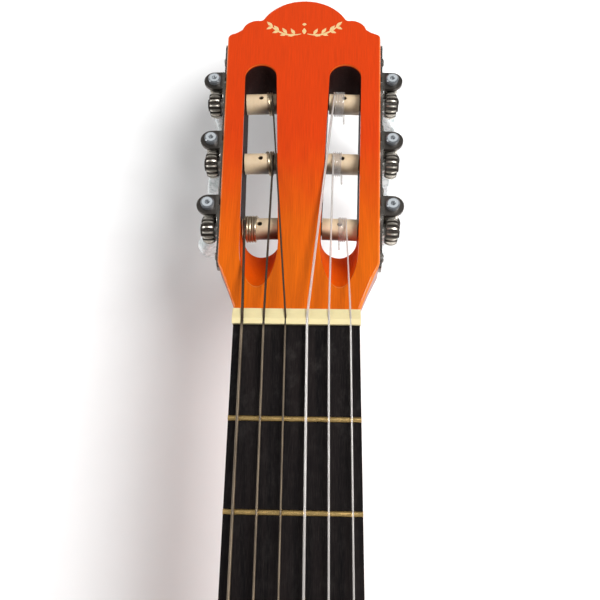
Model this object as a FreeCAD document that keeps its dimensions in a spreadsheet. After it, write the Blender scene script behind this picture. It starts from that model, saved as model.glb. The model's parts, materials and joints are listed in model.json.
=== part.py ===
import FreeCAD, Part
import Sketcher
import math
import os
import re

from FreeCAD import Placement, Rotation, Vector

# A classical guitar with a slotted head, lying on its back.
# X runs to the treble side, Y to the head, Z out of the soundboard.
# The origin is under the middle of its length, in the plane of the back.

SIZES = {
    # strings and neck
    "scale_length": 650, "nut_width": 50.6, "nut_thick": 6.5, "nut_tall": 8.4, "nut_slope": 26,
    "board_thick": 6, "board_nut_width": 50, "board_joint_width": 60, "board_length": 437,
    "fret_wide": 2.2, "fret_tall": 1.0, "tang_wide": 0.6, "tang_deep": 1.6,
    "neck_nut_deep": 16, "neck_joint_deep": 18, "neck_flank": 3,
    "nut_spacing": 8.5, "saddle_spacing": 11.7, "nut_action": 7.7,
    # body
    "body_length": 488, "body_depth": 97, "lower_half": 183, "lower_at": 130, "lower_round": 120,
    "waist_half": 117.5, "waist_at": 298, "upper_half": 140, "upper_at": 392,
    "plate_thick": 2.5, "side_thick": 2, "binding_tall": 6, "lining_wide": 6, "lining_tall": 15,
    "block_width": 60, "neck_block_long": 42, "tail_block_long": 18,
    "hole_radius": 42.5, "hole_from_joint": 155, "rosette_inner": 46, "rosette_outer": 60,
    "rosette_deep": 1.2, "brace_wide": 6, "brace_tall": 6, "bar_tall": 16, "fan_long": 210,
    # bridge
    "bridge_width": 185, "bridge_long": 29, "bridge_front": 8, "wing_tall": 4, "tie_width": 84,
    "tie_tall": 9.5, "tie_thick": 12, "trough_wide": 5.5, "saddle_thick": 3, "saddle_width": 76,
    "saddle_tall": 12, "saddle_seat": 3, "tie_hole_radius": 0.9, "tie_hole_tall": 5,
    # head
    "head_tilt": 12, "head_thick": 20, "head_length": 173.3, "crest_half": 21.3, "crest_at": 159.6,
    "scallop_half": 31, "scallop_at": 153.9, "corner_half": 37.9, "corner_at": 150.3,
    "throat_half": 34.1, "throat_at": 22.5, "head_edge": 1.1,
    "slot_outer_low": 25.5, "slot_outer_high": 27.8, "slot_inner_low": 9.1, "slot_inner_high": 12.6,
    "slot_low_at": 37.5, "slot_high_at": 121, "slot_end_at": 130.8, "slot_back_end_at": 128.9,
    "slot_round": 7.7, "ramp_front_at": 10.7, "ramp_front_long": 22, "ramp_back_at": 35.2,
    "ramp_back_long": 9,
    # tuning machines
    "first_roller": 43.2, "roller_pitch": 35, "roller_deep": 9, "roller_radius": 4.8,
    "shaft_radius": 3, "spigot_radius": 2, "journal_radius": 1.5, "running_gap": 0.06,
    "end_gap": 0.45, "shaft_seat": 6, "roller_hole_radius": 1.1,
    "plate_metal": 1.2, "plate_bar": 11, "plate_lobe": 8.6, "plate_low": 49, "plate_high": 65.5,
    "plate_end_round": 5.8,
    "gear_teeth": 15, "gear_in": 2.8, "gear_thick": 5.4, "gear_tip": 6.3, "gear_root": 5,
    "gear_shoulder": 5.1,
    "tooth_root": 1.1, "tooth_tip": 0.6, "gear_screw_radius": 2.8, "gear_screw_tall": 0.9,
    "worm_pitch": 2.4, "worm_turns": 4, "worm_core": 1.85, "worm_tip": 3.15, "thread_root": 1.2,
    "thread_tip": 0.5, "mesh_gap": 8.33, "tab_in": 6.6, "tab_thick": 1.4, "tab_round": 5,
    "worm_head_radius": 3, "worm_head_tall": 2.1, "worm_dimple": 1.2, "collar_radius": 2.3,
    "collar_tall": 1.6, "stem_long": 28, "button_from": 15.5, "button_to": 34, "button_thick": 7.8,
    "button_edge": 2.4, "screw_radius": 1.2, "screw_long": 8, "screw_head_radius": 2.2,
    "screw_head_tall": 1.1,
}

# name, side (bass -1, treble 1), roller counted from the nut, string diameter, where the string
# meets its roller, which way its turns go from there (outward 1), turns, button's angle at rest
STRINGS = (
    ("low_e", -1, 0, 1.12, 24.1, -1, 4, 25),
    ("a", -1, 1, 0.90, 12.9, 1, 2, 70),
    ("d", -1, 2, 0.75, 14.6, 1, 2, 110),
    ("g", 1, 2, 1.02, 15.1, 1, 4, 150),
    ("b", 1, 1, 0.82, 14.6, 1, 4, 80),
    ("high_e", 1, 0, 0.71, 20.3, -1, 4, 35),
)
FRETS = 19
SCREWS_FROM_MIDDLE = (-48.5, -14.5, 20.5, 62)

document = FreeCAD.newDocument("classical_guitar")
sheet = document.addObject("Spreadsheet::Sheet", "Sizes")
for row, (alias, number) in enumerate(SIZES.items(), 1):
    sheet.set(f"A{row}", alias)
    sheet.set(f"B{row}", str(number))
    sheet.setAlias(f"B{row}", alias)
document.recompute()

pieces = {}


def bound(text):
    """An expression in which each size's name points at its cell."""
    return re.sub(r"[a-z][a-z_]*", lambda word: "Sizes." + word[0] if word[0] in SIZES else word[0], text)


def size(text):
    """The value of an expression of sizes."""
    return float(sheet.evalExpression(bound(str(text))))


def bind(item, **expressions):
    """Ties properties of an object to the sheet; a double underscore stands for a dot."""
    for name, text in expressions.items():
        item.setExpression(name.replace("__", "."), bound(str(text)))
    return item


def keep(name, item, place=None):
    """Names a finished sub-part and puts it in its place."""
    item.Label = name
    if place is not None:
        item.Placement = place
    pieces[name] = item
    return item


def new_body(name):
    return document.addObject("PartDesign::Body", name + "_body")


def sketch_on(body, role, height="0"):
    """A sketch on one of the body's origin planes, raised along its normal."""
    sketch = body.newObject("Sketcher::SketchObject", "sketch")
    plane = next(item for item in body.Origin.OriginFeatures if item.Role == role)
    sketch.AttachmentSupport = [(plane, "")]
    sketch.MapMode = "FlatFace"
    return bind(sketch, AttachmentOffset__Base__z=height)


def nearer_end(sketch, edge, point):
    first, last = (sketch.getPoint(edge, end) for end in (1, 2))
    return 1 if (first - point).Length <= (last - point).Length else 2


def pin(sketch, item, end, across, along):
    """Ties a point of a sketch's item to two expressions of sizes."""
    for kind, text in (("DistanceX", across), ("DistanceY", along)):
        rule = sketch.addConstraint(Sketcher.Constraint(kind, -1, 1, item, end, size(text)))
        sketch.setExpression(f"Constraints[{rule}]", bound(str(text)))


def half_oval(start, tip, centre):
    """Half an ellipse from one end of its short or long axis, past its tip, to the other end."""
    if (tip - centre).Length >= (start - centre).Length:
        return Part.ArcOfEllipse(Part.Ellipse(tip, start, centre), -math.pi / 2, math.pi / 2)
    return Part.ArcOfEllipse(Part.Ellipse(start, tip, centre), 0, math.pi)


def outline(sketch, corners):
    """A closed outline of lines, of arcs where a corner also gives a point that its arc passes, and
    of half ellipses where it gives a tip and a centre."""
    first_edge = sketch.GeometryCount
    points = [Vector(size(corner[0]), size(corner[1]), 0) for corner in corners]
    for index, corner in enumerate(corners):
        end = points[(index + 1) % len(points)]
        passes = [Vector(size(across), size(along), 0) for across, along in zip(corner[2::2], corner[3::2])]
        if len(passes) == 2:
            sketch.addGeometry(half_oval(points[index], *passes), False)
        elif passes:
            sketch.addGeometry(Part.Arc(points[index], passes[0], end), False)
        else:
            sketch.addGeometry(Part.LineSegment(points[index], end), False)
    for index, corner in enumerate(corners):
        edge, before = first_edge + index, first_edge + (index - 1) % len(points)
        mine = nearer_end(sketch, edge, points[index])
        other = nearer_end(sketch, before, points[index])
        sketch.addConstraint(Sketcher.Constraint("Coincident", before, other, edge, mine))
        pin(sketch, edge, mine, *corner[:2])
        if len(corner) == 6:
            tip = sketch.addGeometry(Part.Point(Vector(size(corner[2]), size(corner[3]), 0)), True)
            pin(sketch, tip, 1, *corner[2:4])
            sketch.addConstraint(Sketcher.Constraint("PointOnObject", tip, 1, edge))
    return sketch


def rectangle(sketch, left, low, right, high):
    return outline(sketch, ((left, low), (right, low), (right, high), (left, high)))


def ring(sketch, across, along, radius):
    """A full circle with its centre and radius tied to the sheet."""
    centre = Vector(size(across), size(along), 0)
    circle = sketch.addGeometry(Part.Circle(centre, Vector(0, 0, 1), size(radius)), False)
    pin(sketch, circle, 3, across, along)
    rule = sketch.addConstraint(Sketcher.Constraint("Radius", circle, size(radius)))
    sketch.setExpression(f"Constraints[{rule}]", bound(str(radius)))
    return sketch


def pad(body, sketch, length, both_ways=False, reverse=False):
    feature = body.newObject("PartDesign::Pad", "pad")
    feature.Profile = sketch
    feature.Midplane, feature.Reversed = both_ways, reverse
    return bind(feature, Length=length)


def pocket(body, sketch, length, both_ways=False, reverse=False):
    feature = body.newObject("PartDesign::Pocket", "pocket")
    feature.Profile = sketch
    feature.Midplane, feature.Reversed = both_ways, reverse
    return bind(feature, Length=length)


def turned(body, sketch, axis, cut=False):
    """A solid of revolution about one axis of its sketch."""
    feature = body.newObject("PartDesign::Groove" if cut else "PartDesign::Revolution", "turning")
    feature.Profile = sketch
    feature.ReferenceAxis = (sketch, [axis])
    feature.Angle = 360
    return feature


def loft(body, sections, cut=False, ruled=False):
    kind = "PartDesign::SubtractiveLoft" if cut else "PartDesign::AdditiveLoft"
    feature = body.newObject(kind, "loft")
    feature.Profile = sections[0]
    feature.Sections = list(sections[1:])
    feature.Ruled = ruled
    return feature


def round_edges(body, chosen, radius):
    """Fillets those edges of the body's last feature that the test picks."""
    document.recompute()
    base = body.Tip
    edges = [f"Edge{number}" for number, edge in enumerate(base.Shape.Edges, 1) if chosen(edge)]
    feature = body.newObject("PartDesign::Fillet", "fillet")
    feature.Base = (base, edges)
    return bind(feature, Radius=radius)


def box(name, across, along, up, left, near, low):
    """A Part box by its three sizes and its lowest corner."""
    return bind(document.addObject("Part::Box", name), Length=across, Width=along, Height=up,
                Placement__Base__x=left, Placement__Base__y=near, Placement__Base__z=low)


def joined(name, items):
    fuse = document.addObject("Part::MultiFuse", name)
    fuse.Shapes = items
    return fuse


def combined(kind, name, base, tool):
    item = document.addObject(kind, name)
    item.Base, item.Tool = base, tool
    return item


# ---- places along the guitar ----

CREST_EDGE = "head_edge * (1 - cos(head_tilt * 1deg) - sin(head_tilt * 1deg))"
REACH = f"(nut_thick + head_length * cos(head_tilt * 1deg) + {CREST_EDGE})"
NUT = f"((body_length + scale_length / 2 - {REACH}) / 2)"
JOINT = f"({NUT} - scale_length / 2)"
TAIL = f"({JOINT} - body_length)"
HOLE = f"({JOINT} - hole_from_joint)"
SADDLE = f"({NUT} - scale_length)"
TOP = "body_depth"
HEAD_PLACE = Placement(Vector(0, size(f"{NUT} + nut_thick"), size(TOP)),
                       Rotation(Vector(1, 0, 0), -size("head_tilt")))


# ---- body ----

def rounds():
    """Centres and radii of the arcs of the body's plan, from the tail to the neck."""
    lower_radius = size("lower_round")
    lower = Vector(size("lower_half") - lower_radius, size("lower_at"), 0)
    tail_radius = (lower.x ** 2 + lower.y ** 2 - lower_radius ** 2) / (2 * (lower.y - lower_radius))
    side_step = size("waist_half") - lower.x
    rise = size("waist_at") - lower.y
    waist_radius = (side_step ** 2 + rise ** 2 - lower_radius ** 2) / (2 * (lower_radius - side_step))
    waist = Vector(size("waist_half") + waist_radius, size("waist_at"), 0)
    side_step = waist.x - size("upper_half")
    rise = size("upper_at") - waist.y
    upper_radius = (side_step ** 2 + rise ** 2 - waist_radius ** 2) / (2 * (waist_radius - side_step))
    upper = Vector(size("upper_half") - upper_radius, size("upper_at"), 0)
    left = size("body_length - upper_at")
    neck_radius = (upper.x ** 2 + left ** 2 - upper_radius ** 2) / (2 * (left - upper_radius))
    neck = Vector(0, size("body_length") - neck_radius, 0)
    tail = Vector(0, tail_radius, 0)
    return ((tail, tail_radius), (lower, lower_radius), (waist, -waist_radius),
            (upper, upper_radius), (neck, neck_radius))


def half_plan(inset, side):
    """The arcs of one side of the plan, set in from the edge; a waist's radius is negative."""
    arcs = [(centre, radius - inset) for centre, radius in rounds()]
    joints = [Vector(0, inset, 0)]
    for (centre, radius), (other, other_radius) in zip(arcs, arcs[1:]):
        direction = (other - centre).normalize()
        if radius > 0 and radius > other_radius > 0:
            joints.append(centre + direction * radius)
        elif radius > 0 and other_radius > 0:
            joints.append(other - direction * other_radius)
        else:
            joints.append(centre + direction * abs(radius))
    joints.append(Vector(0, size("body_length") - inset, 0))
    edges = []
    for (centre, radius), start, end in zip(arcs, joints, joints[1:]):
        chord = ((start + end) / 2 - centre).normalize()
        points = (start, centre + chord * abs(radius), end)
        edges.append(Part.Arc(*(Vector(point.x * side, point.y, 0) for point in points)))
    return edges


def plan_sketch(body, insets, height="0"):
    """Whole outlines of the body's plan, one inside the other."""
    sketch = sketch_on(body, "XY_Plane", height)
    for inset in insets:
        for side in (-1, 1):
            sketch.addGeometry(half_plan(size(inset), side), False)
    return sketch


def plan_body(name, insets, low, tall):
    body = new_body(name)
    bind(body, Placement__Base__y=TAIL)
    pad(body, plan_sketch(body, insets, low), tall)
    return body


def make_soundboard():
    body = plan_body("soundboard", ("side_thick",), f"{TOP} - plate_thick", "plate_thick")
    hole_at = "body_length - hole_from_joint"
    pocket(body, ring(sketch_on(body, "XY_Plane", TOP), 0, hole_at, "hole_radius"), "plate_thick")
    groove = ring(sketch_on(body, "XY_Plane", TOP), 0, hole_at, "rosette_outer")
    pocket(body, ring(groove, 0, hole_at, "rosette_inner"), "rosette_deep")
    keep("soundboard", body)
    inlay = new_body("rosette")
    band = ring(sketch_on(inlay, "XY_Plane"), 0, 0, "rosette_outer")
    pad(inlay, ring(band, 0, 0, "rosette_inner"), "rosette_deep")
    keep("rosette", bind(inlay, Placement__Base__y=HOLE, Placement__Base__z=f"{TOP} - rosette_deep"))


def make_shell():
    keep("back_plate", plan_body("back_plate", ("side_thick",), 0, "plate_thick"))
    keep("back_binding", plan_body("back_binding", (0, "side_thick"), 0, "binding_tall"))
    keep("top_binding", plan_body("top_binding", (0, "side_thick"), f"{TOP} - binding_tall",
                                  "binding_tall"))
    for name, side in (("bass_side", -1), ("treble_side", 1)):
        body = new_body(name)
        bind(body, Placement__Base__y=TAIL)
        sketch = sketch_on(body, "XY_Plane", "binding_tall")
        thick, long = size("side_thick"), size("body_length")
        sketch.addGeometry(half_plan(0, side) + half_plan(thick, side), False)
        for start, end in ((0, thick), (long - thick, long)):
            sketch.addGeometry(Part.LineSegment(Vector(0, start, 0), Vector(0, end, 0)), False)
        pad(body, sketch, f"{TOP} - 2 * binding_tall")
        keep(name, body)


def make_linings_and_blocks():
    for name, low in (("back_lining", "plate_thick"),
                      ("top_lining", f"{TOP} - plate_thick - lining_tall")):
        body = plan_body(name, ("side_thick", "side_thick + lining_wide"), low, "lining_tall")
        gaps = sketch_on(body, "XY_Plane", low)
        rectangle(gaps, "-block_width / 2", 0, "block_width / 2", "tail_block_long")
        rectangle(gaps, "-block_width / 2", "body_length - neck_block_long", "block_width / 2",
                  "body_length")
        pocket(body, gaps, "lining_tall", reverse=True)
        keep(name, body)
    inside = f"{TOP} - 2 * plate_thick"
    for name, long, near in (("tail_block", "tail_block_long", TAIL),
                             ("neck_block", "neck_block_long", f"{JOINT} - neck_block_long")):
        room = plan_body(name + "_room", ("side_thick",), "plate_thick", inside)
        blank = box(name + "_blank", "block_width", long, inside, "-block_width / 2", near,
                    "plate_thick")
        keep(name, combined("Part::Common", name, room, blank))


def make_braces():
    inset = "side_thick + lining_wide"
    under = f"{TOP} - plate_thick"
    bars = []
    for index, along in enumerate((f"{HOLE} + hole_radius + 22", f"{HOLE} - hole_radius - 24")):
        bars.append(box(f"top_bar_{index}", "2 * lower_half", "brace_wide", "bar_tall",
                        "-lower_half", along, f"{under} - bar_tall"))
    for index in range(-2, 3):
        fan = box(f"fan_{index + 2}", "brace_wide", "fan_long", "brace_tall", "-brace_wide / 2",
                  0, f"{under} - brace_tall")
        angle = -9 * index
        fan.Placement.Rotation = Rotation(Vector(0, 0, 1), angle)
        bind(fan, Placement__Base__x=f"{34 * index} - brace_wide / 2",
             Placement__Base__y=f"{TAIL} + 60 + {3 * abs(index)}")
        bars.append(fan)
    room = plan_body("brace_room", (inset,), "plate_thick", f"{TOP} - 2 * plate_thick")
    fans = joined("top_bars", bars)
    keep("soundboard_braces", combined("Part::Common", "soundboard_braces", room, fans))
    bars = []
    for index, share in enumerate((0.2, 0.5, 0.82)):
        bars.append(box(f"back_bar_{index}", "2 * lower_half", "brace_wide", "bar_tall",
                        "-lower_half", f"{TAIL} + {share} * body_length", "plate_thick"))
    room = plan_body("back_room", (inset,), "plate_thick", "bar_tall")
    keep("back_braces", combined("Part::Common", "back_braces", room, joined("back_bars", bars)))


# ---- bridge ----

def string_across(index, spacing):
    """How far a string lies from the middle: the strings are counted from the bass side."""
    return f"({index - 2.5} * {spacing})"


def make_bridge():
    body = new_body("bridge")
    front = "bridge_front"
    back = "bridge_front - bridge_long"
    tie_front = f"({back} + tie_thick)"
    wings = sketch_on(body, "YZ_Plane")
    outline(wings, ((back, 0), (front, 0), (front, "wing_tall - 1.5"), (f"{front} - 3", "wing_tall"),
                    (f"{back} + 3", "wing_tall"), (back, "wing_tall - 1.5")))
    pad(body, wings, "bridge_width", both_ways=True)
    centre = sketch_on(body, "YZ_Plane")
    outline(centre, ((back, 0), (front, 0), (front, "wing_tall - 1.5"),
                     ("saddle_thick / 2 + 2", "tie_tall - 1"), ("-saddle_thick / 2 - 1.4", "tie_tall - 1"),
                     (f"{tie_front} + trough_wide", "wing_tall"), (tie_front, "wing_tall"),
                     (tie_front, "tie_tall - 1"), (f"{tie_front} - 1", "tie_tall"),
                     (f"{back} + 2", "tie_tall"), (back, "tie_tall - 2")))
    pad(body, centre, "tie_width", both_ways=True)
    seat = sketch_on(body, "YZ_Plane")
    rectangle(seat, "-saddle_thick / 2", "saddle_seat", "saddle_thick / 2", "tie_tall + 1")
    pocket(body, seat, "saddle_width", both_ways=True)
    holes = sketch_on(body, "XZ_Plane", f"-({tie_front} + 1)")
    for index in range(len(STRINGS)):
        ring(holes, string_across(index, "saddle_spacing"), "tie_hole_tall", "tie_hole_radius")
    pocket(body, holes, "tie_thick + 2", reverse=True)
    keep("bridge", bind(body, Placement__Base__y=SADDLE, Placement__Base__z=TOP))
    bone = new_body("saddle")
    profile = sketch_on(bone, "YZ_Plane")
    shoulder = "saddle_tall - saddle_thick / 2"
    outline(profile, (("-saddle_thick / 2", "saddle_seat"), ("saddle_thick / 2", "saddle_seat"),
                      ("saddle_thick / 2", shoulder, 0, "saddle_tall"),
                      ("-saddle_thick / 2", shoulder)))
    pad(bone, profile, "saddle_width", both_ways=True)
    keep("saddle", bind(bone, Placement__Base__y=SADDLE, Placement__Base__z=TOP))


# ---- neck ----

INTO_BODY = 6


def make_fingerboard():
    body = new_body("fingerboard")
    flare = "(board_joint_width - board_nut_width) / scale_length"
    end_half = f"(board_nut_width / 2 + board_length * {flare})"
    plan = sketch_on(body, "XY_Plane")
    outline(plan, (("-board_nut_width / 2", 0), (f"-{end_half}", "-board_length"),
                   (end_half, "-board_length"), ("board_nut_width / 2", 0)))
    pad(body, plan, "board_thick")
    bind(body, Placement__Base__y=NUT, Placement__Base__z=TOP)
    crown = document.addObject("Sketcher::SketchObject", "fret_profile")
    outline(crown, (("-tang_wide / 2", "-tang_deep"), ("tang_wide / 2", "-tang_deep"),
                    ("tang_wide / 2", 0), ("fret_wide / 2", 0, 0, "fret_tall"),
                    ("-fret_wide / 2", 0), ("-tang_wide / 2", 0)))
    crown.Placement = Placement(Vector(0, 0, 0), Rotation(Vector(1, 1, 1), 120))
    slots, frets = [], []
    for number in range(1, FRETS + 1):
        along = f"(scale_length * (1 - 2 ^ (-{number} / 12)))"
        half = f"(board_nut_width / 2 + {along} * {flare})"
        slots.append(box(f"fret_slot_{number}", f"2 * {half} + 2", "tang_wide", "tang_deep",
                         f"-{half} - 1", f"{NUT} - {along} - tang_wide / 2",
                         f"{TOP} + board_thick - tang_deep"))
        wire = document.addObject("Part::Extrusion", f"fret_{number}")
        wire.Base = crown
        wire.DirMode = "Custom"
        wire.Dir = Vector(1, 0, 0)
        wire.Solid = True
        bind(wire, LengthFwd=half, LengthRev=half, Placement__Base__y=f"{NUT} - {along}",
             Placement__Base__z=f"{TOP} + board_thick")
        frets.append(wire)
    keep("fingerboard", combined("Part::Cut", "fingerboard", body, joined("fret_slots", slots)))
    group = document.addObject("Part::Compound", "frets")
    group.Links = frets
    keep("frets", group)


def neck_section(body, half, deep, along):
    """The neck's section: a flat top, short upright flanks and a round back."""
    sketch = sketch_on(body, "XZ_Plane", f"-({along})")
    return outline(sketch, ((half, 0), (half, "-neck_flank", 0, f"-{deep}"),
                            (f"-{half}", "-neck_flank"), (f"-{half}", 0)))


def heel_section(body, half, long, height):
    """The heel's section: straight flanks that run out of the body and a round nose."""
    sketch = sketch_on(body, "XY_Plane", height)
    return outline(sketch, ((f"-{half}", -INTO_BODY), (half, -INTO_BODY), (half, long - half, 0, long),
                            (f"-{half}", long - half)))


# half width, length along the neck and height of the heel's sections
HEEL = ((28, 66, -15.5), (21, 40, -27), (15.5, 27, -48), (13.5, 23, -70))
HEEL_FOOT = (13, 22)
HEEL_CAP_THICK = 3


def make_neck():
    body = new_body("neck")
    slope = "(board_joint_width - board_nut_width) / scale_length"
    near = neck_section(body, "board_joint_width / 2", "neck_joint_deep", -INTO_BODY)
    far = neck_section(body, f"(board_joint_width / 2 - (scale_length / 2 + nut_thick) * {slope})",
                       "neck_nut_deep", "scale_length / 2 + nut_thick")
    loft(body, (near, far), ruled=True)
    throat = sketch_on(body, "YZ_Plane")
    end = "(scale_length / 2 + nut_thick)"
    lean = "tan(head_tilt * 1deg)"
    outline(throat, ((end, 0), (f"{end} - head_thick * {lean}", "-head_thick"),
                     (f"{end} + 9", "-head_thick"), (f"{end} + 9", 0)))
    pocket(body, throat, "2 * board_joint_width", both_ways=True)
    sections = [heel_section(body, half, long, height) for half, long, height in HEEL]
    sections.append(heel_section(body, *HEEL_FOOT, f"{HEEL_CAP_THICK} - body_depth"))
    loft(body, sections)
    bind(body, Placement__Base__y=JOINT, Placement__Base__z=TOP)
    trunk = plan_body("neck_trunk", (0,), "-1", f"{TOP} + 2")
    keep("neck", combined("Part::Cut", "neck", body, trunk))
    cap = new_body("heel_cap")
    pad(cap, heel_section(cap, *HEEL_FOOT, 0), HEEL_CAP_THICK)
    bind(cap, Placement__Base__y=JOINT)
    trunk = plan_body("cap_trunk", (0,), "-1", f"{TOP} + 2")
    keep("heel_cap", combined("Part::Cut", "heel_cap", cap, trunk))


# ---- strings ----

def tube(route, bends, radius):
    """A round string along straight runs joined by tangent arcs."""
    edges, start = [], route[0]
    for before, corner, after, bend in zip(route, route[1:], route[2:], bends):
        back, ahead = (before - corner).normalize(), (after - corner).normalize()
        half_turn = (math.pi - back.getAngle(ahead)) / 2
        step = bend * math.tan(half_turn)
        first, last = corner + back * step, corner + ahead * step
        bisector = (back + ahead).normalize()
        middle = corner + bisector * (bend / math.cos(half_turn) - bend)
        edges += [Part.LineSegment(start, first).toShape(), Part.Arc(first, middle, last).toShape()]
        start = last
    edges.append(Part.LineSegment(start, route[-1]).toShape())
    path = Part.Wire(edges)
    circle = Part.Wire(Part.Circle(route[0], route[1] - route[0], radius).toShape())
    return path.makePipeShell([circle], True, False)


def roller_centre(side, roller, across):
    """The point of a roller's axis that lies at this distance from the middle of the head."""
    along = size("first_roller") + roller * size("roller_pitch")
    lean = math.radians(SIDE_LEAN)
    along += (side_half(along) - across) * math.tan(lean)
    return HEAD_PLACE.multVec(Vector(side * across, along, -size("roller_deep")))


def tangent_point(point, centre, distance):
    """Where a string from the point lies on the face side of a roller."""
    step = centre - point
    step.x = 0
    span = step.Length
    swing = math.asin(distance / span)
    direction = Rotation(Vector(1, 0, 0), math.degrees(swing)).multVec(step / span)
    end = point + direction * math.sqrt(span ** 2 - distance ** 2)
    end.x = centre.x
    return end


def over_saddle(before, centre, after, distance):
    """The corner of a route that goes round the saddle's top at this distance."""
    corner = centre + Vector(0, 0, distance)
    for _ in range(4):
        normals = []
        for point in (before, after):
            run = (point - corner).normalize()
            normals.append((Vector(0, 0, 1) - run * run.z).normalize())
        first, last = normals
        corner = centre + (first + last) * (distance / (1 + first.dot(last)))
    return corner


NUT_BEND = 6
TROUGH_BEND = 2.5
SLIP = 0.05


def string_route(index):
    name, side, roller, thick, across, *_ = STRINGS[index]
    radius = thick / 2
    at_saddle = size(string_across(index, "saddle_spacing"))
    at_nut = size(string_across(index, "nut_spacing"))
    tie_back = size(f"{SADDLE} + bridge_front - bridge_long")
    tie_front = tie_back + size("tie_thick")
    level = size(f"{TOP} + tie_hole_tall")
    back = Vector(at_saddle, tie_back, level)
    front = Vector(at_saddle, tie_front + 1.2, level)
    nut = Vector(at_nut, size(f"{NUT} + nut_thick / 2"), size(f"{TOP} + nut_action") + radius)
    crown = Vector(at_saddle, size(SADDLE), size(f"{TOP} + saddle_tall - saddle_thick / 2"))
    distance = size("saddle_thick / 2") + radius + SLIP
    saddle = over_saddle(front, crown, nut, distance)
    centre = roller_centre(side, roller, across)
    end = tangent_point(nut, centre, size("roller_radius") + radius + SLIP)
    return [back, front, saddle, nut, end], [TROUGH_BEND, distance, NUT_BEND]


def make_nut_and_strings():
    blank = new_body("nut_blank")
    profile = sketch_on(blank, "YZ_Plane")
    fall = "(nut_thick - nut_thick / 3) * tan(nut_slope * 1deg)"
    outline(profile, ((0, 0), ("nut_thick", 0), ("nut_thick", f"nut_tall - {fall}"),
                      ("nut_thick / 3", "nut_tall"), (0, "nut_tall")))
    pad(blank, profile, "nut_width", both_ways=True)
    bind(blank, Placement__Base__y=NUT, Placement__Base__z=TOP)
    grooves = []
    for index, (name, _, _, thick, *_) in enumerate(STRINGS):
        route, bends = string_route(index)
        string = document.addObject("Part::Feature", name + "_string")
        string.Shape = tube(route, bends, thick / 2)
        keep(name + "_string", string)
        groove = document.addObject("Part::Feature", name + "_groove")
        groove.Shape = tube([route[2] + (route[3] - route[2]) * 0.98] + route[3:], bends[2:],
                            thick / 2 + SLIP)
        grooves.append(groove)
    keep("nut", combined("Part::Cut", "nut", blank, joined("grooves", grooves)))


# ---- head ----

SIDE_LEAN = math.degrees(math.atan(size("(corner_half - throat_half) / (corner_at - throat_at)")))
MIDDLE_ROLLER = "(first_roller + roller_pitch)"


def side_half(along):
    """Half the head's width at a distance from the nut."""
    return size("throat_half") + (along - size("throat_at")) * math.tan(math.radians(SIDE_LEAN))


def side_place(side):
    """The frame of one side of the head: X outward, Z out of the face, Y along the edge."""
    middle = size(MIDDLE_ROLLER)
    turn = -SIDE_LEAN if side > 0 else 180 + SIDE_LEAN
    return HEAD_PLACE * Placement(Vector(side * side_half(middle), middle, 0),
                                  Rotation(Vector(0, 0, 1), turn))


def wall(which, along):
    """How far a slot's outer or inner wall is from the middle of the head."""
    low, high = f"slot_{which}_low", f"slot_{which}_high"
    return f"({low} + ({high} - {low}) * ({along} - slot_low_at) / (slot_high_at - slot_low_at))"


def slot_section(body, side, height, nut_end, nut_long, crest_end):
    """A slot's outline at one level: two straight walls, an oval end to the nut and a round one."""
    near, far = f"({nut_end} + {nut_long})", f"({crest_end} - slot_round)"
    middles = [f"{side} * ({wall('inner', along)} + {wall('outer', along)}) / 2"
               for along in (near, far)]
    sketch = sketch_on(body, "XY_Plane", height)
    return outline(sketch, (
        (f"{side} * {wall('inner', near)}", near, middles[0], nut_end, middles[0], near),
        (f"{side} * {wall('outer', near)}", near),
        (f"{side} * {wall('outer', far)}", far, middles[1], crest_end),
        (f"{side} * {wall('inner', far)}", far)))


def head_outline(sketch):
    corners = [("nut_width / 2", 0, 29.1, 10.5), ("throat_half", "throat_at"),
               ("corner_half", "corner_at", 34.2, 151.5), ("scallop_half", "scallop_at", 27.6, 158.7),
               ("crest_half", "crest_at", 0, "head_length")]
    mirrored = [("-crest_half", "crest_at", -27.6, 158.7),
                ("-scallop_half", "scallop_at", -34.2, 151.5), ("-corner_half", "corner_at"),
                ("-throat_half", "throat_at", -29.1, 10.5), ("-nut_width / 2", 0)]
    return outline(sketch, corners + mirrored)


HEAD_CORNERS = (((("crest_half", "crest_at"), ("scallop_half", "scallop_at")), 1.8),
                ((("corner_half", "corner_at"),), 3), ((("throat_half", "throat_at"),), 8))


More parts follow.
